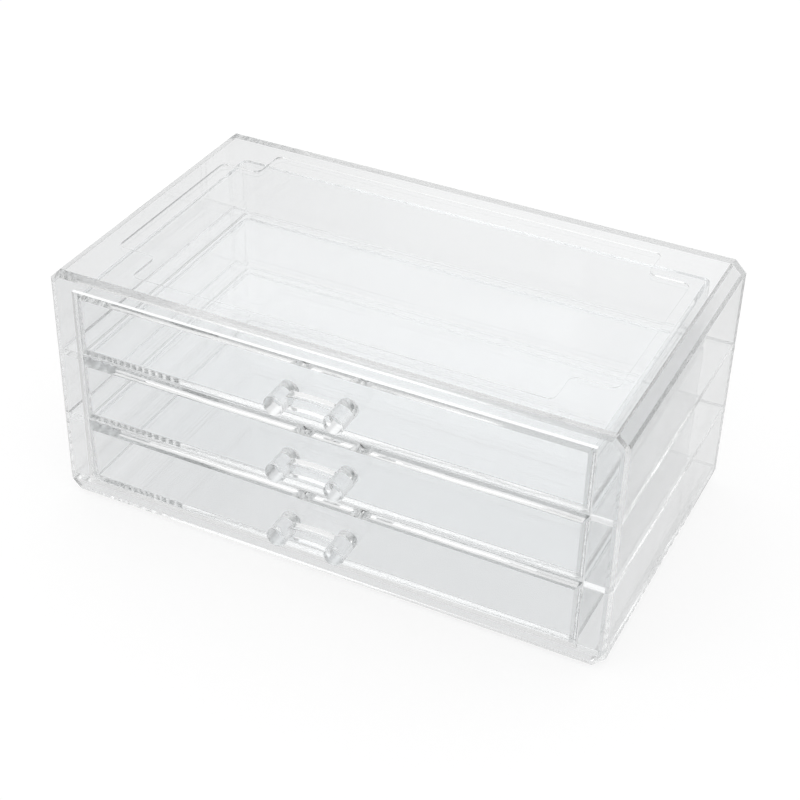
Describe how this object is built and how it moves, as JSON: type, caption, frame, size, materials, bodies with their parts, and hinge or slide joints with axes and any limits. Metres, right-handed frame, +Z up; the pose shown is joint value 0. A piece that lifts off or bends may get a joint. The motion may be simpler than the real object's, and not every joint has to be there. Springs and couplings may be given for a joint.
{
  "type": "desktop drawer organizer",
  "caption": "Clear plastic organizer case with stacked full-width drawers, each with a bar-and-knob handle, for make-up and jewellery.",
  "frame": {"origin": "middle of the case's footprint, on its flat underside", "axes": "+Z up, -Y towards the drawer fronts, +X to the right seen from the front"},
  "size_m": [0.238, 0.1474, 0.107],
  "materials": {
    "case_clear": "clear polished acrylic",
    "shelf_clear": "clear polished acrylic",
    "drawer_clear": "clear polished acrylic",
    "handle_clear": "clear polished acrylic"
  },
  "bodies": {
    "case": {"outer_case": "case_clear", "back_panel": "case_clear", "lower_shelf": "shelf_clear", "middle_shelf": "shelf_clear", "upper_shelf": "shelf_clear"},
    "bottom_drawer": {"bottom_drawer_tray": "drawer_clear", "bottom_drawer_front": "drawer_clear", "bottom_drawer_handle": "handle_clear"},
    "middle_drawer": {"middle_drawer_tray": "drawer_clear", "middle_drawer_front": "drawer_clear", "middle_drawer_handle": "handle_clear"},
    "top_drawer": {"top_drawer_tray": "drawer_clear", "top_drawer_front": "drawer_clear", "top_drawer_handle": "handle_clear"}
  },
  "joints": [
    {"name": "bottom_drawer_slide", "type": "slide", "parent": "case", "child": "bottom_drawer", "axis": [0, -1, 0], "range_m": [0, 0.115]},
    {"name": "middle_drawer_slide", "type": "slide", "parent": "case", "child": "middle_drawer", "axis": [0, -1, 0], "range_m": [0, 0.115]},
    {"name": "top_drawer_slide", "type": "slide", "parent": "case", "child": "top_drawer", "axis": [0, -1, 0], "range_m": [0, 0.115]}
  ]
}
